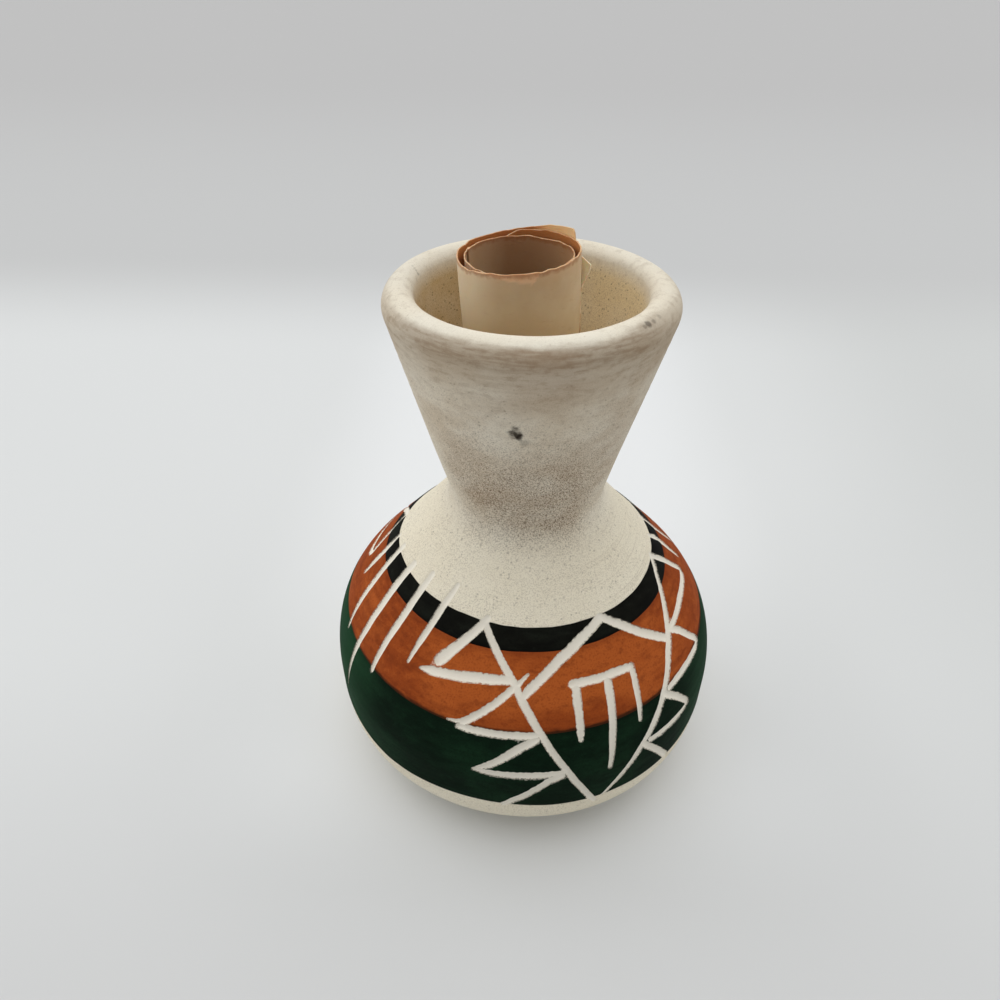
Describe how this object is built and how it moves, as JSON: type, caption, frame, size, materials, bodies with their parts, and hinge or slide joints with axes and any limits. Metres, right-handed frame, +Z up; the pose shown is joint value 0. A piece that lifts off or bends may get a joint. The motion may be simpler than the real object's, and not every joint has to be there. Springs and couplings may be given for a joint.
{
  "type": "pottery vase",
  "caption": "Small pottery vase with a flared neck, slip bands scratched through with a zigzag ornament, and a rolled paper leaflet that lifts out of the mouth.",
  "frame": {"origin": "centre of the flat foot, on the ground", "axes": "+Z up along the axis of the vase, -Y towards the side that the picture shows, +X to its right"},
  "size_m": [0.1108, 0.1108, 0.1454],
  "materials": {
    "clay": "unglazed cream clay with fine specks",
    "black_slip": "matte slip",
    "terracotta_slip": "brushed matte slip",
    "green_slip": "brushed slip with a slight sheen",
    "paper": "tan paper with browned edges"
  },
  "bodies": {
    "vase": {"clay_body": "clay", "black_slip_band": "black_slip", "terracotta_slip_band": "terracotta_slip", "green_slip_band": "green_slip"},
    "leaflet": {"rolled_leaflet": "paper"}
  },
  "joints": [
    {"name": "leaflet_lift", "type": "slide", "parent": "vase", "child": "leaflet", "axis": [-0.0471, 0, 0.9989], "range_m": [0, 0.15]}
  ]
}
